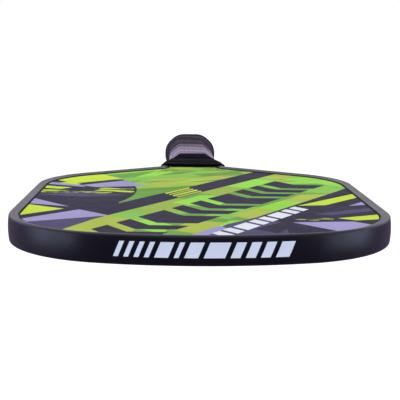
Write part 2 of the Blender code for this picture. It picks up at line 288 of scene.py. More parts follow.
class NodeTree:
    """Short calls that add nodes to a tree and return what they put out."""

    def __init__(self, tree, coordinates):
        self.tree = tree
        self.place = self.add("ShaderNodeTexCoord").outputs[coordinates]

    def add(self, kind, inputs=None, **settings):
        node = self.tree.nodes.new(kind)
        for name, value in settings.items():
            setattr(node, name, value)
        for name, value in (inputs or {}).items():
            self.feed(node.inputs[name], value)
        return node

    def feed(self, socket, value):
        if isinstance(value, bpy.types.NodeSocket):
            self.tree.links.new(value, socket)
        else:
            socket.default_value = value

    def mapped(self, stretch=(1.0, 1.0, 1.0), turn=0.0):
        inputs = {"Vector": self.place, "Scale": stretch, "Rotation": (0.0, 0.0, turn)}
        return self.add("ShaderNodeMapping", inputs).outputs["Vector"]

    def noise(self, scale, detail=3.0, place=None, roughness=0.55):
        inputs = {"Vector": place or self.place, "Scale": scale,
                  "Detail": detail, "Roughness": roughness}
        return self.add("ShaderNodeTexNoise", inputs).outputs["Fac"]

    def cells(self, scale, place=None, randomness=1.0, dimensions="3D"):
        inputs = {"Vector": place or self.place, "Scale": scale, "Randomness": randomness}
        node = self.add("ShaderNodeTexVoronoi", inputs, voronoi_dimensions=dimensions)
        return node.outputs["Distance"]

    def span(self, value, low, high, to_low=0.0, to_high=1.0):
        inputs = {"Value": value, "From Min": low, "From Max": high, "To Min": to_low, "To Max": to_high}
        return self.add("ShaderNodeMapRange", inputs).outputs["Result"]

    def drift(self, scale, detail=3.0, low=0.0, high=1.0):
        """Soft noise whose usual range is spread from low to high."""
        return self.span(self.noise(scale, detail), NOISE_LOW, NOISE_HIGH, low, high)

    def axis(self, vector, name):
        return self.add("ShaderNodeSeparateXYZ", {"Vector": vector}).outputs[name]

    def blend(self, factor, first, second):
        """A mix of two colours; the node's sockets for colours only have numbers."""
        node = self.add("ShaderNodeMix", data_type="RGBA")
        for socket, value in (("Factor", factor), (6, first), (7, second)):
            self.feed(node.inputs[socket], value)
        return node.outputs[2]

    def math(self, operation, first, second=0.0):
        node = self.add("ShaderNodeMath", operation=operation)
        self.feed(node.inputs[0], first)
        self.feed(node.inputs[1], second)
        return node.outputs["Value"]

    def bump(self, height, depth, strength, under=None):
        inputs = {"Height": height, "Distance": depth, "Strength": strength}
        if under:
            inputs["Normal"] = under
        return self.add("ShaderNodeBump", inputs).outputs["Normal"]


class Finish(NodeTree):
    """A Principled material."""

    def __init__(self, name, roughness, metallic=0.0, specular=0.5):
        self.material = bpy.data.materials.new(name)
        self.material.use_nodes = True
        super().__init__(self.material.node_tree, "Object")
        self.shader = self.tree.nodes["Principled BSDF"]
        self.set({"Roughness": roughness, "Metallic": metallic, "Specular IOR Level": specular})

    def set(self, inputs):
        """Feed the shader's inputs by name, apart from those given as None."""
        for name, value in inputs.items():
            if value is not None:
                self.feed(self.shader.inputs[name], value)

    def done(self, colour, roughness=None, normal=None):
        self.set({"Base Color": colour, "Roughness": roughness, "Normal": normal})
        return self.material


def shade(colour, factor):
    """A colour made lighter or darker."""
    return tuple(min(channel * factor, 1.0) for channel in colour[:3]) + (1.0,)


def moulded_plastic(name, colour, roughness, specular=0.5, scuffs=0.35, sheen=0.0):
    """Satin moulded plastic: spark-eroded grain, slow changes of tone and faint rubbed scuffs."""
    finish = Finish(name, roughness, specular=specular)
    finish.set({"Sheen Weight": sheen, "Sheen Roughness": 0.45, "Sheen Tint": PLASTIC_SHEEN})
    tone = finish.drift(26.0, 2.0)
    rub = finish.noise(190.0, 6.0, finish.mapped((1.0, 0.35, 2.2), 0.5), 0.7)
    scuff = finish.span(rub, 0.60, 0.74, 0.0, scuffs)
    colour_out = finish.blend(tone, shade(colour, 0.86), shade(colour, 1.14))
    colour_out = finish.blend(scuff, colour_out, shade(colour, 2.1))
    rough = finish.drift(70.0, 4.0, roughness - 0.06, roughness + 0.07)
    normal = finish.bump(finish.noise(5200.0, 2.0), 0.00003, 0.55)
    normal = finish.bump(finish.noise(420.0), 0.00006, 0.25, normal)
    return finish.done(colour_out, rough, normal)


def print_ink(name, colour, under=None, worn=0.0, hatched=0.0, dotted=0.0, splashed=0.0):
    """Ink printed on the face's film: fine grit, tone drift, specks and long faint streaks.

    under is the ink that shows where this one is rubbed away in dry-brush streaks (worn), between
    fine slanted lines (hatched), in a grid of dots (dotted) or in scattered drops (splashed).
    """
    finish = Finish("ink_" + name, 0.62, specular=0.04)
    colour_out = finish.blend(finish.drift(34.0), shade(colour, 0.93), shade(colour, 1.07))
    streak = finish.noise(420.0, 3.0, finish.mapped((1.0, 0.09, 1.0), math.radians(-31)), 0.6)
    streak = finish.span(streak, 0.56, 0.78, 0.0, 0.14)
    colour_out = finish.blend(streak, colour_out, shade(colour, 0.72))
    if worn:
        brush = finish.noise(150.0, 6.0, finish.mapped((0.16, 1.0, 1.0), math.radians(14)), 0.72)
        colour_out = finish.blend(finish.span(brush, 0.60 - worn, 0.62 - worn), colour_out, under)
    if hatched:
        across = finish.axis(finish.mapped(turn=math.radians(52)), "X")
        line = finish.math("FRACT", finish.math("DIVIDE", across, hatched))
        colour_out = finish.blend(finish.span(line, 0.60, 0.66), colour_out, under)
    if dotted:
        dots = finish.cells(1 / dotted, randomness=0.0)
        fade = finish.span(finish.noise(60.0, 2.0), 0.36, 0.64, 0.04, 0.44)
        inside = finish.math("LESS_THAN", dots, fade)
        colour_out = finish.blend(inside, colour_out, under)
    if splashed:
        drops = finish.cells(330.0, finish.mapped((1.0, 0.7, 1.0)))
        size = finish.span(finish.noise(70.0, 2.0), splashed, splashed + 0.2, 0.0, 0.34)
        colour_out = finish.blend(finish.math("LESS_THAN", drops, size), colour_out, under)
    speck = finish.span(finish.noise(900.0, 4.0, roughness=0.75), 0.68, 0.75, 0.0, 0.5)
    colour_out = finish.blend(speck, colour_out, shade(colour, 0.45))
    grit = finish.bump(finish.noise(3600.0, 2.0), 0.00004, 0.6)
    return finish.done(colour_out, finish.drift(120.0, 3.0, 0.56, 0.70), grit)


# ---------- edge guard

def guard_section():
    """(distance in from the widest outline, height) pairs around the guard's channel.

    They go up the crowned wall, over the crest, down the sloped lip to its rounded edge and back
    under it to the wall's inside. The lower half mirrors them.
    """
    wall_top = GUARD_TOP - CREST_RADIUS
    upper = []
    for height in spread(wall_top / 6, wall_top, 6):
        upper.append((WALL_CROWN * (height / wall_top) ** 2, height))
    for angle in spread(168.0, 80.0, 12):
        inward = WALL_CROWN + CREST_RADIUS * (1 + math.cos(math.radians(angle)))
        upper.append((inward, wall_top + CREST_RADIUS * math.sin(math.radians(angle))))
    crest_in, crest_high = upper[-1]
    edge_top = LIP_UNDERSIDE + LIP_EDGE
    for part in spread(0.15, 0.95, 6):
        sag = LIP_SAG * math.sin(math.pi * part)
        upper.append((crest_in + (GUARD_LIP - crest_in) * part,
                      crest_high + (edge_top - crest_high) * part - sag))
    upper += [(GUARD_LIP - 0.00005, edge_top - 0.00008), (GUARD_LIP, LIP_UNDERSIDE + 0.00012),
              (GUARD_LIP - 0.00010, LIP_UNDERSIDE), (GUARD_WALL, LIP_UNDERSIDE)]
    return upper + [(inward, -height) for inward, height in reversed(upper)]


def make_guard():
    """The moulded channel, its section swept around the head."""
    section = guard_section()
    rings = []
    for point, normal in head_route(behind_tip(GUARD_HIGH.y)):
        rings.append([(*(point - normal * inward), height) for inward, height in section])
    guard = skin("guard_moulding", rings)
    smooth(guard, 50.0)
    plastic = moulded_plastic("guard_plastic", srgb(9, 8, 20), 0.32, specular=0.27, sheen=0.16)
    dress(guard, plastic, ["edge_guard"])


# Plain slanted bars printed around the tip: (start, width) along the wall, in millimetres
MARK_BARS = [(-39.0, 2.2), (-34.4, 2.2), (-29.8, 2.2), (-25.2, 2.2), (-20.6, 6.2), (-12.0, 2.2),
             (-7.4, 6.2), (1.2, 9.4), (13.0, 4.4), (19.8, 4.4), (26.6, 4.4), (33.4, 6.2)]
MARK_LOW, MARK_MIDDLE, MARK_HIGH = -3.0, 0.5, 4.0
MARK_LEAN = 0.42

# How far the underside and the top of the ink stand off the wall
INK_UNDER, INK_TOP = 0.00001, 0.00006


def wall_point(arc_length, height, proud):
    """A point on the tip's wall, at an arc length from the middle and a height."""
    angle = arc_length / TIP_RADIUS
    inward = WALL_CROWN * (height / (GUARD_TOP - CREST_RADIUS)) ** 2
    radius = TIP_RADIUS - inward + proud
    return (radius * math.sin(angle), along(TIP_RADIUS) - radius * math.cos(angle), height)


def make_guard_mark():
    """Slanted bars of thin silver ink, each one a closed solid that lies on the wall."""
    heights = (MARK_LOW, MARK_MIDDLE, MARK_HIGH)
    section = [(height, INK_UNDER) for height in heights]
    section += [(height, INK_TOP) for height in reversed(heights)]
    bars = []
    for start, width in MARK_BARS:
        rings = []
        for near in spread(start, start + width, 6):
            rings.append([wall_point((near + MARK_LEAN * height) * MM, height * MM, proud)
                          for height, proud in section])
        bars.append(skin("guard_bar", rings))
    mark = joined("guard_mark", bars)
    finish = Finish("silver_ink", 0.42, specular=0.3)
    wear = finish.span(finish.noise(1500.0, 5.0, roughness=0.7), 0.70, 0.80, 0.0, 0.5)
    tone = finish.blend(finish.noise(60.0), srgb(196, 205, 226), srgb(210, 218, 236))
    silver = finish.done(finish.blend(wear, tone, srgb(90, 92, 106)),
                         normal=finish.bump(finish.noise(5000.0), 0.00002, 0.4))
    dress(mark, silver, [])


def joined(name, items):
    """One object from several, each still its own closed body."""
    shape = bmesh.new()
    for item in items:
        shape.from_mesh(item.data)
        mesh = item.data
        bpy.data.objects.remove(item)
        bpy.data.meshes.remove(mesh)
    return from_shape(name, shape)


# ---------- printed faces

# Width of the near-black band round the film's edge: painted shadow where the guard's lip meets the film
BORDER_WIDTH = 0.0006
HATCH_PITCH = 0.0016
CHARCOAL = srgb(46, 41, 64)
LAVENDER = srgb(154, 146, 192)
MID_GREEN = srgb(106, 156, 70)
OLIVE = srgb(166, 182, 72)
LIME = srgb(190, 216, 58)
INKS = {
    # painted shadow: the near-black band round the film's edge, beside the guard's lip
    "border": {"colour": srgb(20, 17, 26)},
    "charcoal": {"colour": CHARCOAL},
    "indigo": {"colour": srgb(76, 70, 104)},
    "lavender": {"colour": LAVENDER},
    "lavender_splashed": {"colour": LAVENDER, "under": CHARCOAL, "splashed": 0.5},
    "mid_green": {"colour": MID_GREEN},
    "leaf": {"colour": srgb(128, 186, 80)},
    "bright_green": {"colour": srgb(142, 208, 72)},
    "moss": {"colour": srgb(108, 146, 62)},
    "moss_splashed": {"colour": srgb(124, 158, 66), "under": srgb(70, 82, 60), "splashed": 0.46},
    "olive": {"colour": OLIVE},
    "olive_hatched": {"colour": OLIVE, "under": MID_GREEN, "hatched": HATCH_PITCH},
    "lime": {"colour": LIME},
    "lime_worn": {"colour": LIME, "under": CHARCOAL, "worn": 0.11},
    "lime_dotted": {"colour": LIME, "under": srgb(96, 106, 54), "dotted": HATCH_PITCH},
    "white": {"colour": srgb(216, 218, 230)},
}

# The face is composed on one broad diagonal: its foot, its direction and the width of its green band,
# in millimetres
DIAGONAL_FOOT = Vector((-4.0, 4.0))
DIAGONAL = Vector((0.524, 0.852)).normalized()
BAND_WIDTH = 65.0
STRIPE_WIDTH = 17.0
RAY_HUB = Vector((-60.0, 150.0))
RAY_REACH = 200.0
ROUND_STEPS = 24
MERGE_WITHIN = 0.0005


def from_diagonal(distance, aside):
    """A place at a distance along the diagonal and aside from it, positive towards -X."""
    return DIAGONAL_FOOT + DIAGONAL * distance + Vector((-DIAGONAL.y, DIAGONAL.x)) * aside


def block(start, end, low, high, lean=0.0):
    """A four-sided block in the diagonal's frame; lean slides its far side along the diagonal."""
    return [from_diagonal(start, low), from_diagonal(end, low),
            from_diagonal(end + lean, high), from_diagonal(start + lean, high)]


def chevron(start, width, low, high, point):
    """A thick arrow-like bar across the diagonal's band, which points along the diagonal."""
    middle = (low + high) / 2
    return [from_diagonal(start, low), from_diagonal(start + width, low),
            from_diagonal(start + width + point, middle), from_diagonal(start + width, high),
            from_diagonal(start, high), from_diagonal(start + point, middle)]


def from_hub(hub, reach, degrees):
    """A place at an angle from a hub."""
    angle = math.radians(degrees)
    return hub + Vector((math.cos(angle), math.sin(angle))) * reach


def big_round(hub, radius, start, end):
    """Part of a large circle, from one angle to another, closed by its chord."""
    return [from_hub(hub, radius, angle) for angle in spread(start, end, ROUND_STEPS)]


def rays(edges, ink):
    """Thin triangles that fan out from one hub; edges are (start, end) angles in degrees."""
    return [(ink, [RAY_HUB] + [from_hub(RAY_HUB, RAY_REACH, angle) for angle in edge]) for edge in edges]


# Shards of the artwork from bottom to top: (ink, outline in millimetres across and behind the tip)
GREEN_SHARDS = [
    ("olive", [(-70, 14), (-47, 60), (-22, 54), (-34, 10)]),
    ("leaf", [(-47, 60), (-30, 92), (-4, 74), (-22, 40)]),
    ("mid_green", [(-30, 24), (-18, 50), (4, 44), (-8, 14)]),
    ("bright_green", [(-36, 30), (-26, 50), (-14, 34), (-18, 12)]),
    ("olive_hatched", [(-36, 76), (-12, 116), (2, 108), (-16, 62)]),
    ("bright_green", [(-14, 100), (2, 128), (28, 126), (6, 84)]),
    ("olive", [(-16, 22), (-4, 46), (14, 40), (-2, 12)]),
    ("bright_green", [(2, 20), (14, 46), (26, 48), (10, 22)]),
    ("leaf", [(0, 56), (22, 92), (34, 84), (14, 50)]),
    ("olive", [(16, 60), (32, 86), (42, 76), (24, 50)]),
    ("bright_green", [(30, 84), (46, 108), (60, 104), (42, 76)]),
    ("mid_green", [(10, 120), (34, 160), (52, 150), (26, 112)]),
    ("olive_hatched", [(-4, 138), (12, 166), (30, 158), (14, 128)]),
    ("olive", [(46, 108), (60, 132), (78, 134), (62, 104)]),
    ("bright_green", [(16, 166), (34, 198), (54, 190), (30, 156)]),
    ("leaf", [(60, 140), (78, 172), (92, 168), (80, 136)]),
    ("bright_green", [(56, 198), (78, 214), (94, 190), (90, 164)]),
    ("olive", [(40, 206), (56, 228), (70, 216), (54, 196)]),
]

THROAT_SHARDS = [
    ("moss", [(-52, 196), (30, 236), (34, 222), (-44, 184)]),
    ("olive", [(-44, 176), (30, 188), (24, 172), (-40, 162)]),
    ("moss", [(-36, 150), (0, 168), (6, 158), (-34, 140)]),
    ("leaf", [(-50, 196), (-4, 224), (6, 210), (-40, 184)]),
    ("olive", [(-30, 196), (26, 212), (30, 200), (-26, 186)]),
    ("bright_green", [(-64, 210), (-24, 238), (-16, 250), (-30, 256)]),
    ("olive_hatched", [(-26, 228), (14, 240), (16, 250), (-20, 252)]),
    ("moss_splashed", [(-22, 236), (22, 238), (22, 266), (-22, 266)]),
    ("leaf", [(-16, 246), (4, 242), (8, 252), (-10, 254)]),
    ("olive", [(-24, 252), (-2, 250), (2, 258), (-24, 262)]),
]

LEFT_SHARDS = [
    ("indigo", [(-92, 44), (-50, 54), (-64, 22), (-84, 22)]),
    ("lavender_splashed", [(-92, 44), (-62, 77), (-45, 59), (-86, 40)]),
    ("lime", [(-95, 54), (-95, 96), (-70, 79)]),
    ("lavender", [(-95, 98), (-95, 120), (-68, 86)]),
    ("lime_worn", [(-96, 138), (-58, 130), (-48, 136), (-96, 150)]),
    ("lime", [(-96, 156), (-80, 150), (-74, 156), (-95, 166)]),
    ("indigo", [(-92, 128), (-64, 120), (-40, 128), (-66, 136)]),
    ("lavender_splashed", [(-92, 172), (-66, 158), (-70, 168), (-90, 180)]),
    ("lavender", [(-70, 166), (-44, 188), (-30, 164), (-60, 158)]),
    ("lime_dotted", [(-88, 190), (-62, 220), (-46, 196), (-74, 174)]),
    ("lime_worn", [(-60, 144), (-37, 136), (-36, 142), (-56, 149)]),
    ("lime_worn", [(-58, 152), (-37, 146), (-37, 152), (-56, 156)]),
    ("lime", [(-84, 176), (-72, 168), (-70, 172), (-80, 180)]),
]

RIGHT_SHARDS = [
    ("indigo", [(-6, -6), (12, 36), (28, 56), (40, 40), (38, -6)]),
    ("lavender", [(-10, 2), (8, 32), (12, 26), (-2, 2)]),
    ("charcoal", [(24, 24), (40, 44), (46, 36), (34, 14)]),
    ("lavender", [(44, 42), (74, 45), (84, 34), (64, 18)]),
    ("lime_worn", [(46, 50), (64, 55), (72, 50), (60, 46)]),
    ("lime", [(68, 54), (96, 68), (96, 54), (76, 48)]),
    ("lime", [(53, 92), (96, 142), (94, 126), (68, 94)]),
    ("lavender", [(80, 92), (90, 106), (96, 98)]),
    ("indigo", [(58, 66), (94, 88), (94, 78), (66, 62)]),
]

# Bars across the green band: (start, width) along the diagonal, then the edges of their row
CHEVRONS = [(-9, 13), (11, 12), (30, 24), (61, 12), (80, 12), (99, 24), (130, 12), (149, 12), (168, 18)]
CHEVRON_ROW = (16.0, 50.0)
CHEVRON_POINT = -9.0

# White dashes along the band's edge, as (start, width)
DASHES = [(8, 7), (18, 7), (28, 13), (44, 7), (54, 7), (64, 13), (80, 7), (90, 7)]
DASH_ROW = (-12.0, -2.0)
DASH_LEAN = 4.0

# Four short slashes side by side on the dark stripe
SLASH_LENGTH, SLASH_WIDTH, SLASH_LEAN = 27.0, 2.7, 3.0
SLASH_PITCH, SLASH_STEP = 4.2, 2.5


def shards():
    """The whole artwork, listed as the shards are."""
    art = rays([(3, 9), (22, 28), (46, 54)], "leaf")
    art += rays([(12, 17), (31, 36), (60, 68)], "bright_green")
    art += rays([(28, 31), (55, 60)], "moss")
    art += rays([(18, 21), (38, 41)], "olive")
    art += GREEN_SHARDS + THROAT_SHARDS
    for start, width in CHEVRONS:
        art.append(("charcoal", chevron(start, width, *CHEVRON_ROW, CHEVRON_POINT)))
    art.append(("charcoal", [(-100, -6), (-74, 8), from_diagonal(22, BAND_WIDTH),
                             from_diagonal(40, BAND_WIDTH), (-48, 130), (-46, 192), (-100, 188)]))
    art.append(("charcoal", big_round(Vector((-150, 143)), 115, -40, 26)))
    art.append(("charcoal", [(-62, 12), (-34, 17), (-18, 12), (-18, -4), (-62, -4)]))
    art.append(("charcoal", block(20, 250, BAND_WIDTH, BAND_WIDTH + STRIPE_WIDTH)))
    for row, ink in enumerate(("olive", "lime", "olive", "lime")):
        start = 94 + SLASH_STEP * row
        aside = BAND_WIDTH + 1.0 + SLASH_PITCH * row
        art.append((ink, block(start, start + SLASH_LENGTH, aside, aside + SLASH_WIDTH, SLASH_LEAN)))
    art.append(("charcoal", [from_diagonal(-20, 0), from_diagonal(200, 0),
                             (120, 170), (120, -16), (-12, -16)]))
    art += LEFT_SHARDS + RIGHT_SHARDS
    for start, width in DASHES:
        art.append(("white", block(start, start + width, *DASH_ROW, DASH_LEAN)))
    return art


def counter_clockwise(points):
    """An outline as vectors, turned the way that the cutting needs."""
    points = [Vector((point[0], point[1])) for point in points]
    area = sum(first.cross(second) for first, second in zip(points, points[1:] + points[:1]))
    return points if area > 0 else points[::-1]


def film_outline(inset):
    """The film's outline in millimetres, a distance inside the guard's wall."""
    edge = [point - normal * inset for point, normal in head_route(behind_tip(FILM_HIGH.y))]
    return [(point.x / MM, behind_tip(point.y) / MM) for point in edge]


def make_face(side, facing):
    """A printed film: one flat sheet, cut along the edges of its ink shapes, with a dark band of painted
    shadow along the guard's lip.

    The first outline is the whole film and the second what its painted shadow band leaves. Past the
    second, a face takes the ink of the last outline that it lies in.
    """
    inset = FILM_LOW.x - GUARD_LOW.x
    art = [("border", film_outline(inset)), ("mid_green", film_outline(inset + BORDER_WIDTH))]
    art += shards()
    corners = []
    loops = []
    for _, points in art:
        loops.append(list(range(len(corners), len(corners) + len(points))))
        corners += counter_clockwise(points)
    places, _, faces, _, _, sources = delaunay_2d_cdt(corners, [], loops, 0, MERGE_WITHIN)
    inks = list(INKS)
    low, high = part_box("graphic_film_" + side)
    top, bottom = (high.z, low.z) if facing > 0 else (low.z, high.z)
    shape = bmesh.new()
    verts = [shape.verts.new((facing * place.x * MM, along(place.y * MM), bottom)) for place in places]
    for face, source in zip(faces, sources):
        if 0 in source:
            made = shape.faces.new([verts[index] for index in face])
            made.material_index = inks.index(art[max(source) if 1 in source else 0][0])
    loose = [vert for vert in shape.verts if not vert.link_faces]
    bmesh.ops.delete(shape, geom=loose, context="VERTS")
    raised = bmesh.ops.extrude_face_region(shape, geom=list(shape.faces))
    moved = [part for part in raised["geom"] if isinstance(part, bmesh.types.BMVert)]
    bmesh.ops.translate(shape, verts=moved, vec=(0.0, 0.0, top - bottom))
    bmesh.ops.recalc_face_normals(shape, faces=shape.faces)
    film = from_shape("printed_face_" + side, shape)
    for ink in inks:
        film.data.materials.append(bpy.data.materials["ink_" + ink])
    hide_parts("graphic_film_" + side)
    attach(film, "root")


def make_faces():
    """Both printed films; the back is the front's artwork, mirrored."""
    for ink, look in INKS.items():
        print_ink(ink, **look)
    make_face("front", 1)
    make_face("back", -1)


# ---------- handle

# The grip is pressed in under the collar and rolled over at the butt
PRESSED_IN = 0.0006
TUCK_LEAD = 0.0008
TUCK_LENGTH = 0.0018
ROLL_LENGTH = 0.0016

# Rows of small holes in the strip, per millimetre
HOLE_SCALE = 0.30


def flare(distance):
    """How far the handle swells at a place near the butt."""
    part = min(max((distance - FLARE_START) / (behind_tip(GRIP_HIGH.y) - FLARE_START), 0.0), 1.0)
    return FLARE_OUT * part ** 2


def corner_rounding(distance):
    """The handle's corners round off until its section is nearly oval at the butt."""
    return GRIP_ROUNDING + (BUTT_ROUNDING - GRIP_ROUNDING) * flare(distance) / FLARE_OUT


def wrap_height(distance, around):
    """How far the wound strip stands up: each turn starts with a rounded step over the one before.

    Its rise, fall and crown are placed by their share of a turn.
    """
    phase = ((distance - WRAP_PHASE) / WRAP_PITCH - around) % 1.0
    rise = ease(phase / 0.045)
    fall = 1.0 - ease((phase - 0.05) / 0.75)
    crown = 0.10 * math.sin(math.pi * min(phase / 0.6, 1.0))
    return WRAP_STEP * (rise * fall * 0.9 + crown)


def make_grip():
    """The wound cushion grip, one solid from the collar to the butt cap."""
    start, end = behind_tip(GRIP_LOW.y), behind_tip(GRIP_HIGH.y)
    tuck_start = behind_tip(COLLAR_HIGH.y) - TUCK_LEAD
    outer = []
    for distance in spread(start, end, GRIP_STATIONS):
        size = grown(HANDLE, flare(distance) - WRAP_STEP)
        tuck = 1.0 - ease((distance - tuck_start) / TUCK_LENGTH)
        roll = ease((distance - end + ROLL_LENGTH) / ROLL_LENGTH)
        ring = []
        for index, (point, normal) in enumerate(rounded_ring(size, corner_rounding(distance))):
            height = wrap_height(distance, index / RING_POINTS)
            spot = point + normal * (height * (1 - tuck) - PRESSED_IN * (tuck + roll))
            ring.append((spot.x, along(distance), spot.y))
        outer.append(ring)
    inner = []
    for distance in spread(end, start, 30):
        size = grown(HANDLE, flare(distance) - GRIP_THICKNESS)
        inner.append(upright(rounded_ring(size, INNER_ROUNDING), distance))
    grip = skin("wound_cushion_grip", outer + inner, closed=True)
    smooth(grip, 60.0)
    strip_map(grip)
    dress(grip, grip_leather(), ["cushion_grip"])


def strip_map(item):
    """UVs in millimetres: around the handle, and along it less the lead of the winding."""
    layer = item.data.uv_layers.new(name="strip")
    for polygon in item.data.polygons:
        columns = [item.data.loops[loop].vertex_index % RING_POINTS for loop in polygon.loop_indices]
        seam = max(columns) - min(columns) > RING_POINTS / 2
        for loop, column in zip(polygon.loop_indices, columns):
            if seam and column < RING_POINTS / 2:
                column += RING_POINTS
            y = item.data.vertices[item.data.loops[loop].vertex_index].co.y
            around = column / RING_POINTS
            lead = (behind_tip(y) - WRAP_PHASE - around * WRAP_PITCH) / MM
            layer.data[loop].uv = (around * WRAP_TURN / MM, lead)


def grip_leather():
    """Soft synthetic leather: pebbled grain, rows of small holes darkened with painted shade, a painted
    highlight along the raised edge of each turn and a painted shadow just before it.

    It is painted darker towards the butt, as painted shade.
    """
    finish = Finish("grip_leather", 0.66, specular=0.06)
    base = srgb(131, 118, 139)
    strip = finish.add("ShaderNodeUVMap", uv_map="strip").outputs["UV"]
    holes = finish.span(finish.cells(HOLE_SCALE, strip, 0.0, "2D"), 0.07, 0.12, 1.0, 0.0)
    phase = finish.math("FRACT", finish.math("DIVIDE", finish.axis(strip, "Y"), WRAP_PITCH / MM))
    pebble = finish.cells(1500.0)
    crease = finish.noise(330.0, 5.0, finish.mapped((1.0, 0.5, 1.0)), 0.65)
    grime = finish.span(finish.noise(700.0, 5.0, roughness=0.7), 0.56, 0.72, 0.0, 0.35)
    tone = finish.blend(finish.drift(45.0), shade(base, 0.82), shade(base, 1.16))
    worn = finish.blend(finish.span(crease, 0.58, 0.72, 0.0, 0.30), tone, shade(base, 1.5))
    worn = finish.blend(grime, worn, shade(base, 0.55))
    # painted highlight on each turn's raised edge, then painted shadow just before the next turn's step
    rubbed = finish.blend(finish.span(phase, 0.03, 0.20, 0.70, 0.0), worn, shade(base, 1.9))
    shadowed = finish.blend(finish.span(phase, 0.86, 0.97, 0.0, 0.85), rubbed, shade(base, 0.25))
    # painted shade: the grip darkens towards the butt
    handled = finish.span(finish.axis(finish.place, "Y"), along(0.315), along(0.366), 0.0, 0.94)
    dark = finish.blend(handled, shadowed, srgb(38, 30, 44))
    # painted shade inside the holes
    dark = finish.blend(holes, dark, shade(base, 0.16))
    normal = finish.bump(pebble, 0.00010, 0.55)
    normal = finish.bump(crease, 0.00012, 0.35, normal)
    normal = finish.bump(holes, -0.00035, 0.9, normal)
    return finish.done(dark, finish.drift(160.0, 4.0, 0.56, 0.74), normal)


# ---------- throat collar

# Octagons outside the collar and the room inside it, as HANDLE gives its sizes
MOUTH = (COLLAR_HIGH.x - 0.0004, 0.0080, 0.0210, 0.0072)
WAIST = (0.0212, 0.0103, 0.0158, 0.0080)
GUARD_ROOM = (COLLAR_HIGH.x - 0.0011, 0.0073, COLLAR_HIGH.x - 0.0024, 0.0062)
BLADE_ROOM = (COLLAR_HIGH.x - 0.0028, 0.0059, COLLAR_HIGH.x - 0.0030, 0.0057)

# Distances behind the collar's mouth
WAIST_AT = 0.0087
BLADE_ROOM_END = 0.0060
SLOPE_START, SLOPE_END = 0.0020, 0.0136
REAR_AT = 0.0160

# Rounding of the collar's corners, and depth and length of its two thin edges
MOUTH_ROUNDING, REAR_ROUNDING, ROUNDING_END = 0.0012, 0.0038, 0.0150
LIP_DEPTH, LIP_LENGTH = 0.0003, 0.0006
HEM_DEPTH, HEM_LENGTH = 0.0004, 0.0005


def rubber_wrinkle(point, distance):
    """Shallow folds that run across the stretched part of the boot, deeper on its middle."""
    fold = noise.noise(Vector((point.x * 70, point.y * 70, distance * 420)))
    ripple = noise.noise(Vector((point.x * 220, point.y * 220, distance * 700)))
    return 0.00034 * fold * math.exp(-(point.x / 0.012) ** 2) + 0.00010 * ripple - 0.00012


def make_collar():
    """Moulded rubber boot: a wide flat mouth on the face that rises to the handle's octagon."""
    start, end = behind_tip(COLLAR_LOW.y), behind_tip(COLLAR_HIGH.y)
    rear = grown(HANDLE, 0.0004)
    outside = [(start, MOUTH), (start + WAIST_AT, WAIST), (start + REAR_AT, rear), (end, rear)]
    outer = []
    for distance in spread(start, end, COLLAR_STATIONS):
        behind = distance - start
        lip = LIP_DEPTH * (1.0 - ease(behind / LIP_LENGTH))
        hem = HEM_DEPTH * ease((distance - end + HEM_LENGTH) / HEM_LENGTH)
        size = grown(between(outside, distance), -lip - hem)
        rounding = MOUTH_ROUNDING + (REAR_ROUNDING - MOUTH_ROUNDING) * ease(behind / ROUNDING_END)
        slope = ease(behind / SLOPE_START) * (1.0 - ease((behind - SLOPE_END) / 0.0030))
        ring = []
        for point, normal in rounded_ring(size, rounding):
            spot = point + normal * slope * rubber_wrinkle(point, distance)
            ring.append((spot.x, along(distance), spot.y))
        outer.append(ring)
    guard_end = behind_tip(GUARD_HIGH.y) + CLEARANCE
    inner_rear = grown(HANDLE, -CLEARANCE)
    inside = [(start, GUARD_ROOM), (guard_end, GUARD_ROOM), (guard_end + 0.0003, BLADE_ROOM),
              (start + BLADE_ROOM_END, BLADE_ROOM), (start + 0.0162, inner_rear), (end, inner_rear)]
    inner = [upright(rounded_ring(between(inside, distance), 0.0002), distance)
             for distance in spread(end, start, 60)]
    collar = skin("rubber_collar", outer + inner, closed=True)
    smooth(collar, 55.0)
    dress(collar, collar_rubber(), ["throat_collar"])


def collar_rubber():
    """Dull rubber, painted darkest at the mouth as painted shade and paler over the handle as a painted
    sheen.
    """
    rubber = Finish("collar_rubber", 0.60, specular=0.04)
    rubber.set({"Specular Tint": RUBBER_TINT})
    base = srgb(10, 6, 17)
    wrinkle = rubber.noise(260.0, 5.0, rubber.mapped((1.0, 2.2, 1.0)), 0.6)
    tone = rubber.span(rubber.noise(110.0, 4.0), 0.35, 0.7)
    tone = rubber.blend(tone, shade(base, 0.7), shade(base, 1.35))
    behind = rubber.axis(rubber.place, "Y")
    # painted shade darkens the mouth and a painted sheen lightens the part over the handle
    stretched = rubber.span(behind, COLLAR_LOW.y + 0.0040, COLLAR_HIGH.y - 0.0030)
    tone = rubber.blend(stretched, shade(base, 0.45), rubber.blend(0.55, tone, shade(base, 3.2)))
    dusty = rubber.blend(rubber.span(wrinkle, 0.58, 0.76, 0.0, 0.4), tone, shade(base, 2.4))
    normal = rubber.bump(wrinkle, 0.00016, 0.5, rubber.bump(rubber.cells(2600.0), 0.00005, 0.4))
    return rubber.done(dusty, rubber.span(wrinkle, NOISE_LOW, NOISE_HIGH, 0.50, 0.72), normal)


# ---------- butt cap and badge

BORE_DEPTH = 0.0051
BORE_INSET = 0.0025
BORE_ROUNDING = 0.0012
RIM_EDGE = 0.0011
BADGE_GROOVES = ((0.76, 0.79), (0.84, 0.88))
GROOVE_DEPTH = 0.00022
BADGE_DOME = 0.00016

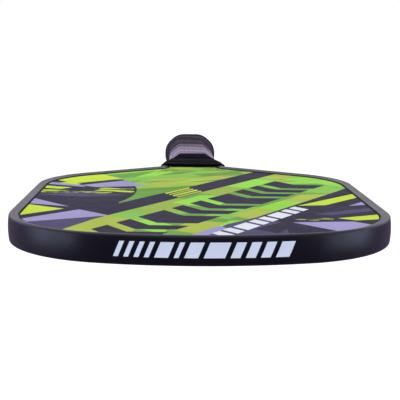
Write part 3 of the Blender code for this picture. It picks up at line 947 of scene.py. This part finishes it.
# The badge's bars: (middle, half length) in millimetres, then (inset, depth) up their bevelled sides
BADGE_BARS = [(-3.0, 2.6), (0.0, 4.4), (3.0, 2.6)]
BAR_SIDES = ((0.0, 0.00022), (0.0, 0.00006), (0.00010, 0.0))
BAR_HALF_WIDTH = 0.0008
BAR_LEAN = 0.35


def circle(radius, distance):
    """A ring about the Y axis, whose points start at +X as the octagon rings do."""
    ring = []
    for index in range(RING_POINTS):
        angle = 2 * math.pi * index / RING_POINTS
        ring.append((radius * math.cos(angle), along(distance), radius * math.sin(angle)))
    return ring


def make_butt_cap():
    """The cap: from its bore out over the skirt under the grip, around the rim and into the recess."""
    start, end = behind_tip(CAP_LOW.y), behind_tip(CAP_HIGH.y)
    rim_start = behind_tip(GRIP_HIGH.y) + CLEARANCE
    bore = rounded_ring(grown(HANDLE, -BORE_INSET), BORE_ROUNDING)
    rings = [circle(0.004, end - BORE_DEPTH), upright(bore, end - BORE_DEPTH), upright(bore, start)]
    for distance in spread(start, rim_start - 0.0001, 10):
        size = grown(HANDLE, flare(distance) - GRIP_THICKNESS - CLEARANCE)
        rings.append(upright(rounded_ring(size, INNER_ROUNDING), distance))
    for angle in spread(-60.0, 88.0, 14):
        turn = math.radians(angle)
        distance = max(end - RIM_EDGE * (1 - math.sin(turn)), rim_start)
        size = grown(grown(HANDLE, FLARE_OUT), -RIM_EDGE * (1 - math.cos(turn)))
        rings.append(upright(rounded_ring(size, BUTT_ROUNDING), distance))
    recess = BADGE_HIGH.x + CLEARANCE
    for outward, depth in ((0.0012, 0.0), (0.0008, 0.0001), (0.0, 0.0004)):
        rings.append(circle(recess + outward, end - depth))
    rings.append(circle(recess, behind_tip(BADGE_LOW.y) - CLEARANCE))
    cap = skin("moulded_butt_cap", rings)
    smooth(cap, 40.0)
    plastic = moulded_plastic("cap_plastic", srgb(18, 14, 22), 0.66, specular=0.07, scuffs=0.5)
    dress(cap, plastic, ["butt_cap"])


def make_badge():
    """A domed disc with two turned grooves and three plain raised bars."""
    low, high = behind_tip(BADGE_LOW.y), behind_tip(BADGE_HIGH.y)
    radius = BADGE_HIGH.x
    rings = [circle(radius - 0.0002, low), circle(radius, low + 0.0002),
             circle(radius, high - 0.0004), circle(radius - 0.0003, high - 0.00018)]
    for share in spread(0.94, 0.02, 47):
        grooved = any(near < share < far for near, far in BADGE_GROOVES)
        depth = 0.00010 + BADGE_DOME * share ** 2 + (GROOVE_DEPTH if grooved else 0.0)
        rings.append(circle(radius * share, high - depth))
    disc = skin("badge_disc", rings)
    smooth(disc, 40.0)
    dress(disc, badge_enamel(), ["butt_cap_badge"])
    emblem = joined("badge_bars", [badge_bar(middle * MM, half_length * MM, high)
                                   for middle, half_length in BADGE_BARS])
    dress(emblem, moulded_plastic("badge_ink", srgb(34, 30, 42), 0.35), [])


def badge_bar(middle, half_length, high):
    """One slanted bar on the badge, with a small bevel around its top."""
    rings = []
    for inset, depth in BAR_SIDES:
        half_width = BAR_HALF_WIDTH - inset
        reach = half_length - inset
        rings.append([(middle + side * half_width + BAR_LEAN * up, along(high - depth), up)
                      for side, up in ((-1, -reach), (1, -reach), (1, reach), (-1, reach))])
    return skin("badge_bar", rings)


def badge_enamel():
    """Glossy green enamel with fine scratches."""
    enamel = Finish("badge_enamel", 0.28)
    tone = enamel.blend(enamel.noise(300.0), srgb(112, 176, 70), srgb(136, 200, 84))
    scratch = enamel.noise(500.0, 6.0, enamel.mapped((0.3, 1.0, 3.0)), 0.7)
    tone = enamel.blend(enamel.span(scratch, 0.64, 0.76, 0.0, 0.35), tone, srgb(210, 226, 190))
    normal = enamel.bump(enamel.noise(900.0), 0.00003, 0.4)
    return enamel.done(tone, enamel.drift(240.0, 4.0, 0.20, 0.38), normal)


# ---------- inner pieces

TOW_WIDTH = 0.0022


def paint(names, material):
    """Give CAD nodes that keep their shape a better material."""
    for name in names:
        node = nodes[name]
        node.data.materials.clear()
        node.data.materials.append(material)


def finish_inner_pieces():
    """Materials for the pieces that keep their CAD shape, which the outer pieces cover."""
    core = Finish("core_polypropylene", 0.5)
    tone = core.blend(core.noise(80.0), srgb(206, 207, 200), srgb(228, 229, 222))
    normal = core.bump(core.noise(2400.0), 0.00004, 0.5)
    paint(["honeycomb_core"], core.done(tone, core.drift(300.0, 3.0, 0.42, 0.6), normal))

    veil = Finish("scrim_veil", 0.85, specular=0.2)
    fibres = [veil.noise(2600.0, 4.0, veil.mapped((1.0, 0.12, 1.0), turn), 0.7) for turn in (0.7, -0.8)]
    threads = veil.math("MAXIMUM", *fibres)
    tone = veil.blend(veil.span(threads, 0.45, 0.75), srgb(196, 196, 186), srgb(238, 238, 230))
    normal = veil.bump(threads, 0.0001, 0.6)
    paint(["core_scrim_front", "core_scrim_back"], veil.done(tone, normal=normal))

    sheet = Finish("woven_composite", 0.35)
    tows = [sheet.add("ShaderNodeTexWave", {"Vector": sheet.place, "Scale": 0.05 / TOW_WIDTH},
                      bands_direction=direction).outputs["Fac"] for direction in "XY"]
    check = sheet.add("ShaderNodeTexChecker", {"Vector": sheet.place, "Scale": 1 / TOW_WIDTH})
    weave = sheet.blend(check.outputs["Fac"], *tows)
    tone = sheet.blend(weave, srgb(44, 44, 50), srgb(84, 84, 92))
    normal = sheet.bump(weave, 0.00006, 0.5)
    paint(["face_sheet_front", "face_sheet_back"], sheet.done(tone, normal=normal))

    wood = Finish("pallet_wood", 0.6, specular=0.25)
    grain = wood.noise(300.0, 6.0, wood.mapped((1.0, 0.045, 1.0)), 0.65)
    growth = wood.add("ShaderNodeTexWave", {"Vector": wood.mapped((1.0, 0.04, 1.0)), "Scale": 150.0,
                                            "Distortion": 3.0}).outputs["Fac"]
    tone = wood.blend(grain, srgb(150, 112, 70), srgb(204, 168, 120))
    tone = wood.blend(wood.span(growth, 0.5, 1.0, 0.0, 0.4), tone, srgb(128, 90, 54))
    rough = wood.span(grain, NOISE_LOW, NOISE_HIGH, 0.5, 0.7)
    normal = wood.bump(grain, 0.0001, 0.5)
    paint(["handle_pallet_front", "handle_pallet_back"], wood.done(tone, rough, normal))

    tape = Finish("paper_tape", 0.75, specular=0.2)
    crepe = tape.noise(1400.0, 3.0, tape.mapped((0.25, 1.0, 0.25)), 0.6)
    tone = tape.blend(crepe, srgb(186, 178, 156), srgb(220, 214, 196))
    normal = tape.bump(crepe, 0.00012, 0.6)
    paint(["grip_adhesive_tape", "finishing_tape"], tape.done(tone, normal=normal))

    steel = Finish("tack_steel", 0.3, metallic=1.0)
    brushed = steel.noise(5000.0, 2.0, steel.mapped((1.0, 1.0, 0.05)))
    tone = steel.blend(brushed, srgb(170, 170, 174), srgb(210, 210, 214))
    rough = steel.span(brushed, NOISE_LOW, NOISE_HIGH, 0.22, 0.42)
    normal = steel.bump(brushed, 0.00002, 0.3)
    paint(["butt_cap_tack_front", "butt_cap_tack_back"], steel.done(tone, rough, normal))


# ---------- studio

CAMERA_PLACE = Vector((-0.01298, -0.60679, 0.08677))
CAMERA_TURN = math.radians(1.566)
CAMERA_DIP = math.radians(8.926)
CAMERA_ROLL = math.radians(0.52)
CAMERA_LENS = 85.5
FLOOR_DROP = 0.350
FLOOR_RADIUS = 6.0

# Brightness of the room, of its lowest part, of the floor, and the share that is left at the front
ROOM_GLOW = 1.15
GROUND_GLOW = 0.06
FLOOR_GLOW = 0.15
FRONT_SHARE = 0.4
WHITE = (1.0, 1.0, 1.0)
SIDE_COLOUR = (0.66, 0.70, 1.0)
KEY_POWER = 6.5
SIDE_POWER = 14.0


def make_camera():
    """A camera low in front of the tip, a little to its left."""
    data = bpy.data.cameras.new("camera")
    data.sensor_width = 36.0
    data.lens = CAMERA_LENS
    data.clip_start = 0.01
    data.clip_end = 50.0
    camera = link("camera", data)
    turned = Matrix.Rotation(-CAMERA_TURN, 4, "Z") @ Matrix.Rotation(math.pi / 2 - CAMERA_DIP, 4, "X")
    rolled = Matrix.Rotation(CAMERA_ROLL, 4, "Z")
    camera.matrix_world = Matrix.Translation(CAMERA_PLACE) @ turned @ rolled
    bpy.context.scene.camera = camera


def make_floor():
    """A wide pale floor below the paddle, which doesn't show in glossy reflections."""
    shape = bmesh.new()
    bmesh.ops.create_circle(shape, cap_ends=True, segments=96, radius=FLOOR_RADIUS)
    floor = from_shape("studio_floor", shape)
    floor.location.z = CAP_LOW.z - FLOOR_DROP
    paper = Finish("studio_paper", 0.9, specular=0.05)
    tone = paper.blend(paper.noise(900.0), srgb(253, 253, 253), srgb(255, 255, 255))
    normal = paper.bump(paper.noise(1500.0), 0.00005, 0.2)
    floor.data.materials.append(paper.done(tone, normal=normal))
    paper.set({"Emission Color": (*WHITE, 1.0), "Emission Strength": FLOOR_GLOW})
    floor.visible_glossy = False


def softbox(name, place, target, size, power, colour):
    """A rectangular area light that faces a target."""
    data = bpy.data.lights.new(name, "AREA")
    data.shape = "RECTANGLE"
    data.size, data.size_y = size
    data.energy = power
    data.color = colour
    light = link(name, data)
    light.location = place
    light.rotation_euler = (Vector(target) - Vector(place)).to_track_quat("-Z", "Y").to_euler()


def make_surroundings():
    """A white room, dimmer at the front and below, that the camera itself sees as plain white."""
    world = bpy.data.worlds.new("white_studio")
    world.use_nodes = True
    sky = NodeTree(world.node_tree, "Generated")
    height = sky.span(sky.axis(sky.place, "Z"), -0.05, 0.35, GROUND_GLOW, ROOM_GLOW)
    depth = sky.span(sky.axis(sky.place, "Y"), -0.75, 0.05, FRONT_SHARE, 1.0)
    seen = sky.add("ShaderNodeLightPath").outputs["Is Camera Ray"]
    room = sky.tree.nodes["Background"]
    sky.feed(room.inputs["Color"], (*WHITE, 1.0))
    sky.feed(room.inputs["Strength"], sky.math("MAXIMUM", sky.math("MULTIPLY", height, depth), seen))
    bpy.context.scene.world = world


def make_studio():
    """Camera, floor, white surroundings, a soft light overhead and a cool one at each side."""
    make_camera()
    make_floor()
    make_surroundings()
    bpy.context.scene.view_settings.view_transform = "Standard"
    softbox("key_softbox", (-0.4, 0.2, 1.6), (0.0, 0.0, 0.0), (1.6, 1.6), KEY_POWER, WHITE)
    for side in (-1.0, 1.0):
        softbox("side_softbox", (side * 1.75, -0.6, 0.05), (0.0, -0.05, 0.0), (1.5, 0.8),
                SIDE_POWER, SIDE_COLOUR)


make_studio()
make_guard()
make_guard_mark()
make_faces()
make_collar()
make_grip()
make_butt_cap()
make_badge()
finish_inner_pieces()
